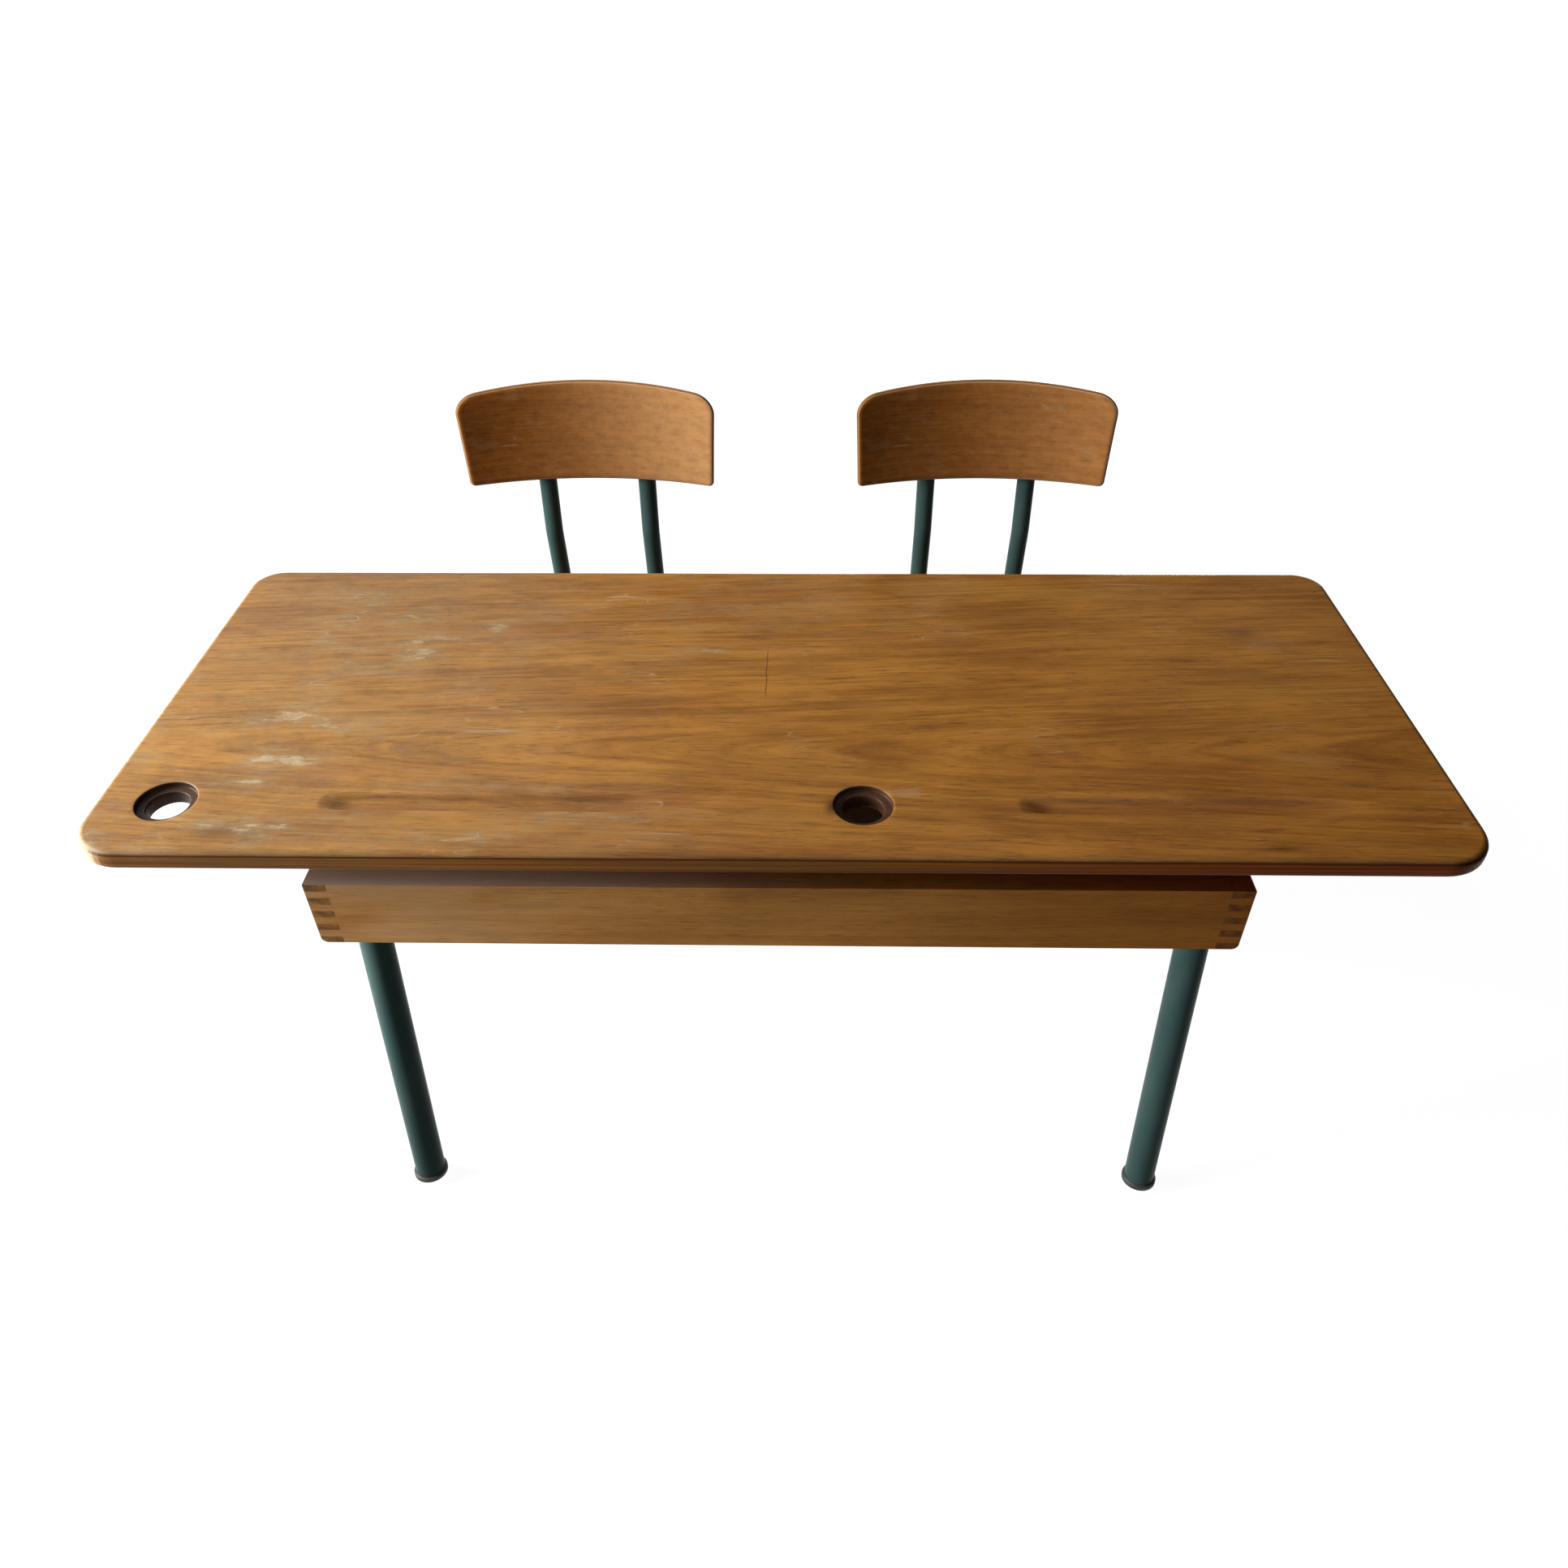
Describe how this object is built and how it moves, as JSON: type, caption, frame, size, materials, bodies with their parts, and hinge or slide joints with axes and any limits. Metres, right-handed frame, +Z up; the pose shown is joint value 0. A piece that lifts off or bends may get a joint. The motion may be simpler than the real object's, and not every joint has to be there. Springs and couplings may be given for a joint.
{
  "type": "double school desk",
  "caption": "Double school desk: plywood top with inkwell holes and pen grooves on raked tube legs, comb-jointed book box below, matching curved-back tube chairs behind.",
  "frame": {"origin": "on the floor, in the middle of the ground that desk and chairs cover", "axes": "+Z up, +X along the desk's length, +Y from the desk's front towards the chairs"},
  "size_m": [1.2, 0.943, 0.7171],
  "materials": {
    "top_plywood": "worn satin varnish",
    "box_wood": "satin varnish",
    "box_plywood": "matt, unvarnished",
    "chair_plywood": "satin varnish",
    "leg_enamel": "dark green gloss enamel",
    "chair_enamel": "dark green gloss enamel",
    "glide_rubber": "matt black",
    "bare_steel": "dull",
    "screw_steel": "dull"
  },
  "bodies": {
    "desk": {"desk_top": "top_plywood", "left_leg_frame": "leg_enamel", "right_leg_frame": "leg_enamel", "front_cross_tube": "leg_enamel", "rear_cross_tube": "leg_enamel", "desk_glides": "glide_rubber", "box_front_panel": "box_wood", "box_left_side": "box_wood", "box_right_side": "box_wood", "box_bottom": "box_plywood", "box_divider": "box_wood", "box_hangers": "bare_steel", "fixing_lugs": "leg_enamel", "top_screws": "screw_steel", "box_screws": "screw_steel"},
    "left_chair": {"left_chair_seat": "chair_plywood", "left_chair_backrest": "chair_plywood", "left_chair_left_rear_tube": "chair_enamel", "left_chair_right_rear_tube": "chair_enamel", "left_chair_left_front_tube": "chair_enamel", "left_chair_right_front_tube": "chair_enamel", "left_chair_front_bar": "chair_enamel", "left_chair_rear_bar": "chair_enamel", "left_chair_glides": "glide_rubber", "left_chair_tube_plugs": "glide_rubber", "left_chair_seat_screws": "screw_steel", "left_chair_backrest_screws": "screw_steel"},
    "right_chair": {"right_chair_seat": "chair_plywood", "right_chair_backrest": "chair_plywood", "right_chair_left_rear_tube": "chair_enamel", "right_chair_right_rear_tube": "chair_enamel", "right_chair_left_front_tube": "chair_enamel", "right_chair_right_front_tube": "chair_enamel", "right_chair_front_bar": "chair_enamel", "right_chair_rear_bar": "chair_enamel", "right_chair_glides": "glide_rubber", "right_chair_tube_plugs": "glide_rubber", "right_chair_seat_screws": "screw_steel", "right_chair_backrest_screws": "screw_steel"}
  },
  "joints": [
    {"name": "left_chair_pull_out", "type": "slide", "parent": "desk", "child": "left_chair", "axis": [0, 1, 0], "range_m": [0, 0.45]},
    {"name": "right_chair_pull_out", "type": "slide", "parent": "desk", "child": "right_chair", "axis": [0, 1, 0], "range_m": [0, 0.45]}
  ]
}
